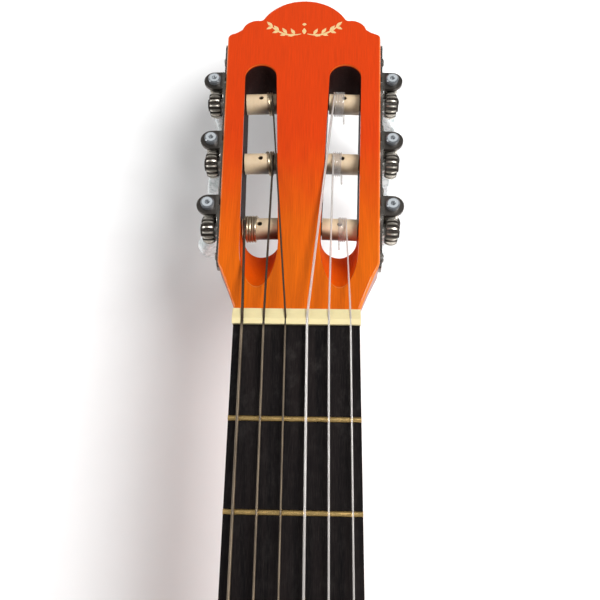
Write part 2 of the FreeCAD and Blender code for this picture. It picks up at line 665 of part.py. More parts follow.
def make_headstock():
    body = new_body("headstock")
    pad(body, head_outline(sketch_on(body, "XY_Plane")), "head_thick", reverse=True)
    for corners, radius in HEAD_CORNERS:
        places = [Vector(size(across), size(along), 0) for across, along in corners]

        def at_a_corner(edge):
            middle = edge.BoundBox.Center
            return edge.BoundBox.ZLength > 1 and any(
                math.hypot(abs(middle.x) - place.x, middle.y - place.y) < 0.2 for place in places)
        round_edges(body, at_a_corner, radius)
    for side in (-1, 1):
        loft(body, (slot_section(body, side, 0, "ramp_front_at", "ramp_front_long", "slot_end_at"),
                    slot_section(body, side, "-head_thick", "ramp_back_at", "ramp_back_long",
                                 "slot_back_end_at")), cut=True, ruled=True)
    depth = size("head_thick")
    slot_far = size("slot_outer_high")
    slot_near = size("ramp_front_at")

    def on_the_outer_rim(edge):
        level = edge.BoundBox
        flat = level.ZLength < 0.01 and min(abs(level.ZMax), abs(level.ZMax + depth)) < 0.01
        of_a_slot = 1 < abs(level.Center.x) < slot_far and slot_near < level.Center.y < size("slot_end_at")
        return flat and level.YMax > 1 and not of_a_slot
    round_edges(body, on_the_outer_rim, "head_edge")
    body.Placement = HEAD_PLACE
    throat = new_body("throat")
    neck_half = "(nut_width / 2 + 0.2)"
    wide, far = 46, 40
    start = outline(sketch_on(throat, "XZ_Plane", 0), (
        (neck_half, 1), (neck_half, "-neck_flank", 0, "-neck_nut_deep - 0.2"),
        (f"-{neck_half}", "-neck_flank"), (f"-{neck_half}", 1)))
    end = outline(sketch_on(throat, "XZ_Plane", -far), (
        (wide, 1), (wide, "-head_thick", 0, "-head_thick - 1"), (-wide, "-head_thick"), (-wide, 1)))
    loft(throat, (start, end), ruled=True)
    rest = rectangle(sketch_on(throat, "XZ_Plane", -far), -wide, "-head_thick - 1", wide, 1)
    pad(throat, rest, "head_length", reverse=True)
    throat.Placement = HEAD_PLACE
    carved = combined("Part::Common", "carved_head", body, throat)
    keep("headstock", combined("Part::Cut", "headstock", carved, joined("head_bores", head_bores())))


def cylinder(name, radius, long, place):
    """A Part cylinder that lies along X from its place."""
    item = bind(document.addObject("Part::Cylinder", name), Radius=radius, Height=long)
    item.Placement = place * Placement(Vector(0, 0, 0), Rotation(Vector(0, 1, 0), 90))
    return item


def roller_steps(roller):
    """Distances from the head's side inward to a slot's two walls, along a roller's axis."""
    along = size("first_roller") + roller * size("roller_pitch")
    half = side_half(along)
    return half - size(wall("outer", along)), half - size(wall("inner", along))


def head_bores():
    bores = []
    for side in (-1, 1):
        place = side_place(side)
        for roller in range(3):
            along = side * (roller - 1) * size("roller_pitch")
            deep = roller_steps(roller)[1] + size("shaft_seat")
            spot = Vector(-deep, along, -size("roller_deep"))
            bores.append(cylinder("roller_bore", "shaft_radius + running_gap", f"{deep} + 1",
                                  place * Placement(spot, Rotation())))
        for along in SCREWS_FROM_MIDDLE:
            spot = Vector(-size("screw_long"), side * along, -size("roller_deep"))
            bores.append(cylinder("screw_bore", "screw_radius", "screw_long + 1",
                                  place * Placement(spot, Rotation())))
    return bores


# ---- tuning machines ----

def make_plate(name, side):
    body = new_body(name)
    ends, half_bar = (f"{-side} * plate_low", f"{side} * plate_high"), "plate_bar / 2"
    bar = sketch_on(body, "YZ_Plane")
    rectangle(bar, ends[0], f"-roller_deep - {half_bar}", ends[1], f"-roller_deep + {half_bar}")
    pad(body, bar, "plate_metal")
    lobes = sketch_on(body, "YZ_Plane")
    for roller in (-1, 0, 1):
        ring(lobes, f"{side} * ({roller} * roller_pitch + mesh_gap / 2)", "-roller_deep", "plate_lobe")
    for end in ends:
        ring(lobes, end, "-roller_deep", "plate_end_round")
    pad(body, lobes, "plate_metal")
    for low in ("-roller_deep + tab_in", "-roller_deep - tab_in - tab_thick"):
        tabs = sketch_on(body, "XY_Plane", low)
        for roller in (-1, 0, 1):
            along = f"{side} * ({roller} * roller_pitch + mesh_gap)"
            out = "(gear_in + gear_thick / 2)"
            outline(tabs, (("plate_metal / 2", f"{along} - tab_round"),
                           (out, f"{along} - tab_round", f"{out} + tab_round", along),
                           (out, f"{along} + tab_round"), ("plate_metal / 2", f"{along} + tab_round")))
            ring(tabs, out, along, "journal_radius + running_gap")
        pad(body, tabs, "tab_thick")
    holes = sketch_on(body, "YZ_Plane", "plate_metal")
    for roller in (-1, 0, 1):
        ring(holes, f"{roller} * roller_pitch", "-roller_deep", "shaft_radius + running_gap")
    for along in SCREWS_FROM_MIDDLE:
        ring(holes, side * along, "-roller_deep", "screw_radius")
    pocket(body, holes, "plate_metal")
    keep(name, body, side_place(side))


def make_screws():
    screws = []
    for side in (-1, 1):
        for along in SCREWS_FROM_MIDDLE:
            body = new_body("screw")
            outline_of = sketch_on(body, "XZ_Plane")
            under, tall = "plate_metal", "screw_head_tall"
            outline(outline_of, (("-screw_long + 2", 0), ("-screw_long + 2", "screw_radius"),
                                 (under, "screw_radius"), (under, "screw_head_radius"),
                                 (f"{under} + {tall} / 2", "screw_head_radius"),
                                 (f"{under} + {tall}", "screw_head_radius - 0.7"),
                                 (f"{under} + {tall}", 0)))
            turned(body, outline_of, "H_Axis")
            slot = sketch_on(body, "XY_Plane")
            rectangle(slot, f"{under} + {tall} / 2", -0.35, f"{under} + {tall} + 1", 0.35)
            pocket(body, slot, "3 * screw_head_radius", both_ways=True)
            spot = Vector(0, side * along, -size("roller_deep"))
            body.Placement = side_place(side) * Placement(spot, Rotation(Vector(1, 0, 0), 7 * along))
            screws.append(body)
    group = document.addObject("Part::Compound", "plate_screws")
    group.Links = screws
    keep("plate_screws", group)


def make_roller(name, roller, place):
    body = new_body(name)
    outer, inner = roller_steps(roller)
    barrel_out, barrel_in = f"(-{outer} - end_gap)", f"(-{inner} + end_gap)"
    bottom = f"(-{inner} - shaft_seat + end_gap)"
    profile = sketch_on(body, "XZ_Plane")
    tip = "(gear_in + gear_thick)"
    outline(profile, ((bottom, 0), (tip, 0), (tip, "spigot_radius"), ("gear_in", "spigot_radius"),
                      ("gear_in", "shaft_radius"), (barrel_out, "shaft_radius"),
                      (barrel_out, "roller_radius"), (barrel_in, "roller_radius"),
                      (barrel_in, "shaft_radius"), (bottom, "shaft_radius")))
    turned(body, profile, "H_Axis")
    middle = f"(({barrel_out} + {barrel_in}) / 2)"
    hole = ring(sketch_on(body, "XY_Plane"), middle, 0, "roller_hole_radius")
    pocket(body, hole, "3 * roller_radius", both_ways=True)
    keep(name + "_roller", body, place)


def make_winding(name, side, roller, thick, across, direction, turns, place):
    """The turns of a string on its roller, as one sleeve with a ridge for each turn."""
    body = new_body(name + "_winding")
    along = size("first_roller") + roller * size("roller_pitch")
    inward = across - side_half(along)
    first = inward + direction * (thick / 2 + 2 * SLIP)
    last = first + direction * turns * thick
    low, high = min(first, last), max(first, last)
    rise = f"(roller_radius + {thick} / 2)"
    corners = [(low, "roller_radius")]
    for turn in range(turns):
        ridge = low + turn * thick
        corners.append((ridge, rise, ridge + thick / 2, f"{rise} + {thick} / 2"))
    corners += [(high, rise), (high, "roller_radius")]
    turned(body, outline(sketch_on(body, "XZ_Plane"), corners), "H_Axis")
    keep(name + "_winding", body, place)


def make_gear(name, side, place):
    """A toothed wheel whose gap faces the worm at rest, with the head of its fixing screw."""
    body = new_body(name + "_gear")
    pad(body, ring(sketch_on(body, "YZ_Plane"), 0, 0, "gear_root"), "gear_thick")
    tooth = sketch_on(body, "YZ_Plane")
    outline(tooth, (("-tooth_root / 2", "gear_root - 0.4"), ("tooth_root / 2", "gear_root - 0.4"),
                    ("tooth_tip / 2", "gear_tip"), ("-tooth_tip / 2", "gear_tip")))
    cog = pad(body, tooth, "gear_thick")
    document.recompute()
    pattern = body.newObject("PartDesign::PolarPattern", "teeth")
    pattern.Originals = [cog]
    axis = next(item for item in body.Origin.OriginFeatures if item.Role == "X_Axis")
    pattern.Axis = (axis, [""])
    pattern.Angle = 360
    bind(pattern, Occurrences="gear_teeth")
    body.Tip = pattern
    barrel = sketch_on(body, "XZ_Plane")
    outline(barrel, ((0, "gear_shoulder", "gear_thick / 2", "gear_tip"), ("gear_thick", "gear_shoulder"),
                     ("gear_thick", "gear_tip + 1"), (0, "gear_tip + 1")))
    turned(body, barrel, "H_Axis", cut=True)
    pad(body, ring(sketch_on(body, "YZ_Plane", "gear_thick"), 0, 0, "gear_screw_radius"),
        "gear_screw_tall")
    slot = sketch_on(body, "YZ_Plane", "gear_thick + gear_screw_tall")
    rectangle(slot, "-gear_screw_radius - 1", -0.4, "gear_screw_radius + 1", 0.4)
    pocket(body, slot, "gear_screw_tall / 2")
    bore = ring(sketch_on(body, "YZ_Plane"), 0, 0, "spigot_radius")
    pocket(body, bore, "gear_thick", reverse=True)
    half_tooth = 180 / size("gear_teeth")
    turn = Rotation(Vector(1, 0, 0), half_tooth - 90 * side)
    keep(name + "_gear", body, place * Placement(Vector(size("gear_in"), 0, 0), turn))


def make_worm(name, place):
    body = new_body(name + "_worm")
    profile = sketch_on(body, "XZ_Plane")
    tab_out = "(tab_in + tab_thick)"
    head_top = f"({tab_out} + 0.1 + worm_head_tall)"
    collar = f"(-{tab_out} - 0.1)"
    outline(profile, ((0, "-stem_long"), ("journal_radius", "-stem_long"),
                      ("journal_radius", f"{collar} - collar_tall"),
                      ("collar_radius", f"{collar} - collar_tall"), ("collar_radius", collar),
                      ("journal_radius", collar), ("journal_radius", "-tab_in + 0.2"),
                      ("worm_core", "-tab_in + 0.2"), ("worm_core", "tab_in - 0.2"),
                      ("journal_radius", "tab_in - 0.2"), ("journal_radius", f"{tab_out} + 0.1"),
                      ("worm_head_radius", f"{tab_out} + 0.1"),
                      ("worm_head_radius", f"{head_top} - 0.5"),
                      ("worm_head_radius - 0.5", head_top), ("worm_dimple", head_top),
                      (0, f"{head_top} - worm_dimple")))
    turned(body, profile, "V_Axis")
    start = "-worm_pitch * worm_turns / 2"
    thread = sketch_on(body, "XZ_Plane")
    outline(thread, (("worm_core - 0.3", f"{start} - thread_root / 2"),
                     ("worm_tip", f"{start} - thread_tip / 2"), ("worm_tip", f"{start} + thread_tip / 2"),
                     ("worm_core - 0.3", f"{start} + thread_root / 2")))
    helix = body.newObject("PartDesign::AdditiveHelix", "thread")
    helix.Profile = thread
    helix.ReferenceAxis = (thread, ["V_Axis"])
    helix.Mode = 0
    bind(helix, Pitch="worm_pitch", Height="worm_pitch * worm_turns")
    keep(name + "_worm", body, place)


def make_button(name, place):
    body = new_body(name + "_button")
    grip = sketch_on(body, "XZ_Plane")
    outline(grip, ((-3.4, "-button_from"), (-8.3, "-button_from - 6.5", -9.4, "-button_from - 12"),
                   (-5, "-button_to + 1.2", 0, "-button_to"),
                   (5, "-button_to + 1.2", 9.4, "-button_from - 12"), (8.3, "-button_from - 6.5"),
                   (3.4, "-button_from")))
    pad(body, grip, "button_thick", both_ways=True)
    half = size("button_thick / 2")
    round_edges(body, lambda edge: edge.BoundBox.YLength < 0.01 and abs(edge.BoundBox.YMax) > half - 0.1
                and edge.BoundBox.ZMin < -size("button_from") - 0.1, "button_edge")
    document.recompute()
    bore = ring(sketch_on(body, "XY_Plane", "-button_from"), 0, 0, "journal_radius")
    pocket(body, bore, "stem_long - button_from")
    keep(name + "_button", body, place)


def make_machines():
    make_plate("bass_tuner_plate", -1)
    make_plate("treble_tuner_plate", 1)
    make_screws()
    for name, side, roller, thick, across, direction, turns, angle in STRINGS:
        along = side * (roller - 1) * size("roller_pitch")
        level = -size("roller_deep")
        axle = side_place(side) * Placement(Vector(0, along, level), Rotation())
        make_roller(name, roller, axle)
        make_winding(name, side, roller, thick, across, direction, turns, axle)
        make_gear(name, side, axle)
        post = Vector(size("gear_in + gear_thick / 2"), along + side * size("mesh_gap"), level)
        facing = Rotation(Vector(0, 0, 1), -90 * side)
        make_worm(name, side_place(side) * Placement(post, facing))
        make_button(name, side_place(side) * Placement(post, Rotation(Vector(0, 0, 1), angle)))


make_soundboard()
make_shell()
make_linings_and_blocks()
make_braces()
make_bridge()
make_fingerboard()
make_neck()
make_nut_and_strings()
make_headstock()
make_machines()
document.recompute()

faults = [f"{item.Label}: {item.State}" for item in document.Objects
          if {"Invalid", "Error"} & set(item.State)]
faults += [f"{name}: bad shape" for name, item in pieces.items()
           if item.Shape.isNull() or not item.Shape.isValid()]
if faults:
    raise RuntimeError("\n".join(faults))

os.makedirs("parts", exist_ok=True)
for name, item in pieces.items():
    item.Shape.exportStep(f"parts/{name}.step")
    print(f"{name:22s} {item.Shape.Volume:12.1f} {len(item.Shape.Solids)}")
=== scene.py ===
import json
import math

import bmesh
import bpy
from mathutils import Matrix, Vector


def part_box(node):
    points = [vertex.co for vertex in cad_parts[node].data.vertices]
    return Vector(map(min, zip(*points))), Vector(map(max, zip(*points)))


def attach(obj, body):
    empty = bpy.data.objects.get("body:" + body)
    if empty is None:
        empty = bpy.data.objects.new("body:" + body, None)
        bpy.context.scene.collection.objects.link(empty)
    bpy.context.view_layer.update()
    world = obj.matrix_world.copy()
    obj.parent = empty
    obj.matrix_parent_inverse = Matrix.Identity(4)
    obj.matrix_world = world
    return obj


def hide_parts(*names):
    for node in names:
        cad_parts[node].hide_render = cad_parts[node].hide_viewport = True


bl_info = {
    "name": "Classical Guitar Finishes",
    "version": (1, 0, 0),
    "blender": (4, 5, 0),
    "location": "View3D > Sidebar > Guitar",
    "description": "Strings, knots, inlays, lacquers and a studio around a slotted-head guitar",
    "category": "Object",
}

MM = 0.001
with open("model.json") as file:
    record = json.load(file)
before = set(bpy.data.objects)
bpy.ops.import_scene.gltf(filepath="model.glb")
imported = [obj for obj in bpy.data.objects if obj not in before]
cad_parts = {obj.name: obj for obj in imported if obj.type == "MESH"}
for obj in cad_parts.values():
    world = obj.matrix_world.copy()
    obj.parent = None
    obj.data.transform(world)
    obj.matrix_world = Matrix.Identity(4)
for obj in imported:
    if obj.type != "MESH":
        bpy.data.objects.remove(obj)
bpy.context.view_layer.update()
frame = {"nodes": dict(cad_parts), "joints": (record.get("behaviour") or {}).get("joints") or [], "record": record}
NODES = frame["nodes"]
JOINTS = {joint["name"]: joint for joint in frame["joints"]}

BASSES = ("low_e", "a", "d")
TREBLES = ("g", "b", "high_e")
STRINGS = BASSES + TREBLES
NUT_LOW, NUT_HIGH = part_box("nut")
BOARD_LOW, BOARD_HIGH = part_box("fingerboard")
BRIDGE_LOW, BRIDGE_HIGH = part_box("bridge")
ROSETTE_LOW, ROSETTE_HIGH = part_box("rosette")
HEAD_NORMAL = Vector(JOINTS["low_e_peg_turn"]["axis"])
HEAD_TILT = math.atan2(HEAD_NORMAL.y, HEAD_NORMAL.z)
HEAD_ORIGIN = Vector((0, NUT_HIGH.y, NUT_LOW.z))
HEAD = Matrix.Translation(HEAD_ORIGIN) @ Matrix.Rotation(-HEAD_TILT, 4, "X")
HOLE = (ROSETTE_LOW + ROSETTE_HIGH) / 2


def in_head(point):
    """A point in the head's own frame: across, along the face from the nut, out of the face."""
    return HEAD.inverted() @ Vector(point)


FIRST_ROLLER = in_head(JOINTS["low_e_roller_turn"]["pos_m"])
NEXT_ROLLER = in_head(JOINTS["a_roller_turn"]["pos_m"])
ROLLER_PITCH = NEXT_ROLLER.y - FIRST_ROLLER.y
SIDE_FLARE = (abs(NEXT_ROLLER.x) - abs(FIRST_ROLLER.x)) / ROLLER_PITCH
FIRST_WORM = in_head(JOINTS["low_e_peg_turn"]["pos_m"])
SIDE_HALF = (abs(FIRST_ROLLER.x) - SIDE_FLARE * FIRST_ROLLER.y) / MM
NUT_HALF = NUT_HIGH.x / MM
THROAT_LEAN = 0.39  # how much wider the head grows for each step up its throat
TIE_BLOCK = 12 * MM

# Millimetres, for the finishes.
SOUNDHOLE_CUT = 45, 46
ROSETTE_MIDDLE = 53
ROSETTE_CHEQUERS, ROSETTE_DIAMONDS = 96, 24
BACK_STRIP = 2.2, 2.3
BACK_LINE = 1.7
WIRE_PITCH = 0.32
# Roller radii: where the painted shade of the hollow end starts, and the shaft
ROLLER_HOLLOW_SHADE, ROLLER_SHAFT = (4.2, 4.55), (3.1, 3.2)
TIE_STRIPS = 6.2, 3.3
SLOT_RAMP = 39, 46
CREST_TONE = 16, 92


# ---- sizes and colours that can be changed ----

class GuitarColours(bpy.types.PropertyGroup):
    """Finishes of the instrument."""

    def colour(name, text, value):
        return bpy.props.FloatVectorProperty(name=name, description=text, default=value, size=3,
                                             subtype="COLOR", min=0, max=1)

    crest: colour("Crest", "Lacquer at the top of the head", (0.58, 0.034, 0.0))
    throat: colour("Throat", "Lacquer of the head beside the nut", (0.64, 0.110, 0.0))
    # Slot colour: a dark stain made darker still as painted shade
    slot_stain_and_shade: colour("Slot stain", "Bare stained wood inside the head's slots", (0.020, 0.007, 0.006))
    spruce: colour("Spruce", "Lacquered soundboard", (0.72, 0.37, 0.115))
    mahogany: colour("Mahogany", "Lacquered back and sides", (0.27, 0.060, 0.016))
    ivory: colour("Ivory", "Nut and saddle", (0.70, 0.60, 0.33))
    roller: colour("Roller", "Plastic of the string rollers", (0.70, 0.55, 0.37))
    nickel: colour("Nickel", "Plates of the tuning machines", (0.20, 0.185, 0.165))
    pearl: colour("Pearl", "Buttons of the tuning machines", (0.80, 0.84, 0.84))
    gilt: colour("Gilt", "Ornament on the head", (0.93, 0.66, 0.30))


class GuitarSizes(bpy.types.PropertyGroup):
    """Sizes of the pieces that are added to the frame."""

    def length(name, text, value):
        return bpy.props.FloatProperty(name=name, description=text, default=value * MM,
                                       subtype="DISTANCE", unit="LENGTH", precision=5)

    ornament_stroke: length("Ornament stroke", "Half the width of the ornament's widest stroke", 0.55)
    ornament_relief: length("Ornament relief", "How far the ornament stands out of the head", 0.06)
    tail: length("String tail", "Loose end of a treble string at its roller", 7)
    bead: length("Plate bead", "Radius of the raised bead on a tuner plate", 0.32)


def colours():
    return bpy.context.scene.guitar_colours


def sizes():
    return bpy.context.scene.guitar_sizes


# ---- shader maths ----

class Number:
    """A socket that carries a value; arithmetic on it adds Math nodes."""

    def __init__(self, recipe, socket):
        self.recipe, self.socket = recipe, socket

    def math(self, operation, *values):
        return self.recipe.node("ShaderNodeMath", {"operation": operation}, dict(enumerate(values)))

    def __add__(self, other):
        return self.math("ADD", self, other)

    def __sub__(self, other):
        return self.math("SUBTRACT", self, other)

    def __rsub__(self, other):
        return self.math("SUBTRACT", other, self)

    def __mul__(self, other):
        return self.math("MULTIPLY", self, other)

    def __abs__(self):
        return self.math("ABSOLUTE", self)

    __radd__, __rmul__ = __add__, __mul__

    def power(self, exponent):
        return self.math("POWER", self, exponent)

    def root(self):
        return self.math("SQRT", self)

    def least(self, other):
        return self.math("MINIMUM", self, other)

    def most(self, other):
        return self.math("MAXIMUM", self, other)

    def repeat(self, step):
        """Folds the value into one step, from minus half a step to half a step."""
        return self.math("WRAP", self, step / 2, -step / 2)

    def ramp(self, start, end):
        """Rises smoothly from 0 at start to 1 at end; it falls where end is the lower."""
        kind = {"interpolation_type": "SMOOTHSTEP"}
        return self.recipe.node("ShaderNodeMapRange", kind, {"Value": self, 1: start, 2: end})


class Recipe:
    """One procedural finish on a Principled shader."""

    def __init__(self, name, **fixed):
        self.material = bpy.data.materials.new(name)
        self.material.use_nodes = True
        self.tree = self.material.node_tree
        self.shader = self.tree.nodes["Principled BSDF"]
        self.set(**fixed)

    def set(self, **values):
        """Sets or links the shader's sockets; an underscore in a name stands for a space."""
        for key, value in values.items():
            self.plug(self.shader.inputs[key.replace("_", " ")], value)
        return self

    def plug(self, socket, value):
        if isinstance(value, Number):
            self.tree.links.new(value.socket, socket)
        elif socket.type == "RGBA" and len(value) == 3:
            socket.default_value = (*value, 1)
        else:
            socket.default_value = value

    def node(self, kind, settings=None, values=None, output=0):
        """Adds a node, sets it up, fills its sockets and gives one of its outputs."""
        item = self.tree.nodes.new(kind)
        for key, value in (settings or {}).items():
            if key == "stops":
                self.stops(item.color_ramp, value)
            else:
                setattr(item, key, value)
        for key, value in (values or {}).items():
            self.plug(item.inputs[key], value)
        return Number(self, item.outputs[output])

    def stops(self, ramp, stops):
        while len(ramp.elements) < len(stops):
            ramp.elements.new(0.5)
        for element, (position, colour) in zip(ramp.elements, stops):
            element.position, element.color = position, (*colour, 1)

    def place(self, origin=(0, 0, 0), turn=(0, 0, 0)):
        """The point in millimetres in a frame with this origin and turn."""
        point = self.node("ShaderNodeTexCoord", output=3)
        return self.node("ShaderNodeMapping", {"vector_type": "TEXTURE"},
                         {"Vector": point, "Location": tuple(origin), "Rotation": turn,
                          "Scale": (MM, MM, MM)})

    def axes(self, point):
        parts = self.node("ShaderNodeSeparateXYZ", values={0: point})
        return [Number(self, parts.socket.node.outputs[index]) for index in range(3)]

    def stretched(self, point, scale):
        return self.node("ShaderNodeVectorMath", {"operation": "MULTIPLY"}, {0: point, 1: scale})

    def noise(self, point, scale=(1, 1, 1), detail=4, roughness=0.55, distortion=0):
        return self.node("ShaderNodeTexNoise", values={
            "Vector": self.stretched(point, scale), "Scale": 1, "Detail": detail,
            "Roughness": roughness, "Distortion": distortion})

    def blend(self, share, first, second):
        return self.node("ShaderNodeMix", {"data_type": "RGBA"}, {0: share, 6: first, 7: second},
                         output=2)

    def darker(self, colour, share):
        """Multiplies a colour by a value."""
        return self.node("ShaderNodeMix", {"data_type": "RGBA", "blend_type": "MULTIPLY"},
                         {0: 1.0, 6: colour, 7: self.node("ShaderNodeCombineXYZ", values={
                             0: share, 1: share, 2: share})}, output=2)

    def relief(self, height, distance, strength=1):
        return self.set(Normal=self.node("ShaderNodeBump", values={
            "Height": height, "Distance": distance * MM, "Strength": strength}))

    def wear(self, nodes):
        for name in nodes:
            cad = NODES[name]
            cad.data.materials.clear()
            cad.data.materials.append(self.material)
        return self


def smooth(item, degrees=32):
    """Smooth shading with edges kept where faces meet at more than this angle."""
    item.data.shade_smooth()
    item.data.set_sharp_from_angle(angle=math.radians(degrees))


# ---- finishes ----

def wood_figure(recipe, point, fine=(3.2, 0.07, 3.2), broad=(0.22, 0.012, 0.22)):
    """Grain that runs along Y: fine pores and broad darker bands, each from 0 to 1."""
    pores = recipe.noise(point, fine, detail=5, roughness=0.6)
    bands = recipe.noise(point, broad, detail=3, distortion=0.6)
    return pores.ramp(0.35, 0.72), bands.ramp(0.3, 0.72)


def head_lacquer(name):
    """Sunburst lacquer; bare stain in the slots, darkened further as painted shade; sides painted darker as shade;
    a paler line along the rims, a painted highlight.
    """
    recipe = Recipe(name, Roughness=0.28, Coat_Roughness=0.04, Coat_IOR=1.38,
                    Specular_IOR_Level=0.06)
    point = recipe.place(HEAD_ORIGIN, (-HEAD_TILT, 0, 0))
    across, along, out = recipe.axes(point)
    pores, bands = wood_figure(recipe, point)
    mottle = recipe.noise(point, (0.09, 0.05, 0.09), detail=3)
    tone = recipe.blend((along + mottle * 34 - 17).ramp(*CREST_TONE), tuple(colours().throat),
                        tuple(colours().crest))
    tone = recipe.darker(tone, 1.06 - 0.20 * pores - 0.17 * bands * along.ramp(170, 20))
    # Paler line just below the face's rims: a painted highlight
    rim_highlight = out.ramp(-0.9, -0.5) * out.ramp(0.05, -0.25)
    tone = recipe.blend(rim_highlight * 0.55, tone, (0.95, 0.25, 0.04))
    below = out.ramp(-0.7, -1.4)
    edge = (THROAT_LEAN * along + NUT_HALF).least(SIDE_FLARE * along + SIDE_HALF)
    # Side faces of the head: the mask for their painted shade
    side = (abs(across) - edge).ramp(-1.6, -1.0) * below
    ramp = (1 - side) * below * along.ramp(*reversed(SLOT_RAMP))
    slot = (1 - side) * below * along.ramp(*SLOT_RAMP)
    speckle = recipe.noise(point, (1.1, 1.1, 1.1), detail=6, roughness=0.7).ramp(0.5, 0.8)
    stain_and_shade = recipe.blend(speckle * 0.6, tuple(colours().slot_stain_and_shade), (0.06, 0.026, 0.020))
    # Below the face, away from the sides: dark stain deepened as painted shade
    tone = recipe.blend(slot, tone, stain_and_shade)
    # Painted shade on the side faces
    tone = recipe.blend(side * 0.85, tone, (0.20, 0.022, 0.006))
    tone = recipe.blend(ramp * 0.55, tone, (0.80, 0.075, 0.0))
    recipe.set(Base_Color=tone, Roughness=0.28 + 0.4 * slot + 0.6 * ramp,
               Coat_Weight=0.6 - 0.56 * slot - 0.4 * side - 0.6 * ramp)
    recipe.relief(pores * 0.4 + bands, 0.035, 0.5)
    return recipe


def neck_lacquer(name):
    recipe = Recipe(name, Roughness=0.34, Coat_Weight=0.8, Coat_Roughness=0.12)
    point = recipe.place()
    pores, bands = wood_figure(recipe, point)
    tone = recipe.blend(bands, (0.62, 0.125, 0.008), (0.42, 0.070, 0.006))
    recipe.set(Base_Color=recipe.darker(tone, 1.05 - 0.3 * pores))
    return recipe.relief(pores, 0.03, 0.4)


def mahogany(name):
    recipe = Recipe(name, Roughness=0.30, Coat_Weight=1.0, Coat_Roughness=0.05)
    point = recipe.place()
    across, _, up = recipe.axes(point)
    pores, bands = wood_figure(recipe, point, (1.7, 0.05, 1.7), (0.06, 0.004, 0.06))
    ribbon = recipe.noise(point, (0.35, 0.02, 0.35), detail=3, distortion=1.5).ramp(0.35, 0.65)
    deep = Vector(colours().mahogany)
    tone = recipe.blend(bands, tuple(deep * 1.3), tuple(deep * 0.62))
    tone = recipe.darker(tone, 1.12 - 0.34 * pores - 0.22 * ribbon)
    strip = abs(across).ramp(*reversed(BACK_STRIP)) * up.ramp(3.1, 2.9)
    lines = abs(abs(across) - BACK_LINE).ramp(0.45, 0.35) * strip
    tone = recipe.blend(strip, tone, (0.62, 0.36, 0.14))
    recipe.set(Base_Color=recipe.blend(lines, tone, (0.03, 0.012, 0.008)))
    return recipe.relief(pores, 0.03, 0.4)


def spruce(name):
    recipe = Recipe(name, Roughness=0.32, Coat_Weight=1.0, Coat_Roughness=0.05)
    point = recipe.place()
    across, along, up = recipe.axes(point)
    drift = recipe.noise(point, (0.02, 0.003, 0.02), detail=2)
    lines = recipe.node("ShaderNodeMath", {"operation": "SINE"},
                        {0: (abs(across) + drift * 26) * 3.4})
    grain = (lines * 0.5 + 0.5).power(3)
    silk = recipe.noise(point, (0.25, 0.9, 0.25), detail=4).ramp(0.45, 0.75)
    pores = recipe.noise(point, (5, 0.06, 5), detail=4).ramp(0.3, 0.8)
    amber = Vector(colours().spruce)
    late_wood = (amber.x * 0.66, amber.y * 0.52, amber.z * 0.4)
    tone = recipe.blend(grain * 0.75, tuple(amber * 1.1), late_wood)
    tone = recipe.darker(tone, 1.05 - 0.09 * silk - 0.1 * pores)
    joint = abs(across).ramp(0.25, 0.1)
    bare = up.ramp(HOLE.z / MM - 0.2, HOLE.z / MM - 0.6) * up.ramp(0, 90)
    radius = ((across - HOLE.x / MM).power(2) + (along - HOLE.y / MM).power(2)).root()
    cut = radius.ramp(*reversed(SOUNDHOLE_CUT)) * bare
    tone = recipe.blend(cut * 0.6, tone, (0.36, 0.20, 0.09))
    recipe.set(Base_Color=recipe.blend(joint * 0.5, tone, (0.30, 0.12, 0.03)))
    return recipe.relief(grain * 0.5 + pores, 0.02, 0.4)


def bare_wood(name):
    recipe = Recipe(name, Roughness=0.75)
    point = recipe.place()
    pores, bands = wood_figure(recipe, point, (2.4, 0.2, 2.4), (0.1, 0.02, 0.1))
    tone = recipe.blend(bands, (0.60, 0.40, 0.21), (0.42, 0.25, 0.12))
    recipe.set(Base_Color=recipe.darker(tone, 1.0 - 0.25 * pores))
    return recipe.relief(pores, 0.06, 0.6)


def rosewood(name):
    recipe = Recipe(name, Roughness=0.42, Coat_Weight=0.15, Coat_Roughness=0.3)
    point = recipe.place()
    across, along, up = recipe.axes(point)
    pores = recipe.noise(point, (0.10, 3.0, 3.0), detail=5, roughness=0.62).ramp(0.38, 0.7)
    bands = recipe.noise(point, (0.012, 0.5, 0.5), detail=3, distortion=0.8).ramp(0.35, 0.65)
    tone = recipe.blend(bands, (0.060, 0.022, 0.013), (0.022, 0.010, 0.008))
    tone = recipe.blend(pores * 0.45, tone, (0.105, 0.050, 0.030))
    back = BRIDGE_LOW.y / MM
    top = up.ramp(BRIDGE_HIGH.z / MM - 0.12, BRIDGE_HIGH.z / MM - 0.06)
    middle, half = TIE_STRIPS
    edges = abs(abs(along - back - middle) - half).ramp(0.62, 0.5) * abs(across).ramp(40.5, 40.4)
    recipe.set(Base_Color=recipe.blend(edges * top, tone, (0.80, 0.68, 0.42)),
               Roughness=0.36 + 0.25 * pores)
    return recipe.relief(1 - pores, 0.05, 0.6)


def black_board(name):
    recipe = Recipe(name, Specular_IOR_Level=0.03)
    point = recipe.place()
    along = recipe.axes(point)[1]
    pores = recipe.noise(point, (4.0, 0.16, 4.0), detail=6, roughness=0.68).ramp(0.46, 0.74)
    bands = recipe.noise(point, (0.3, 0.012, 0.3), detail=4).ramp(0.3, 0.75)
    near_nut = along.ramp(NUT_LOW.y / MM - 60, NUT_LOW.y / MM)
    dust = recipe.noise(point, (0.16, 0.10, 0.16), detail=6, roughness=0.7).ramp(0.48, 0.74)
    dust = dust * (0.35 + 0.65 * near_nut)
    tone = recipe.blend(bands, (0.0040, 0.0036, 0.0040), (0.0110, 0.0085, 0.0085))
    tone = recipe.blend(pores * 0.5, tone, (0.030, 0.024, 0.021))
    recipe.set(Base_Color=recipe.blend(dust * 0.45, tone, (0.040, 0.036, 0.034)),
               Roughness=0.42 + 0.2 * pores + 0.18 * dust)
    return recipe.relief(1 - pores, 0.05, 0.7)


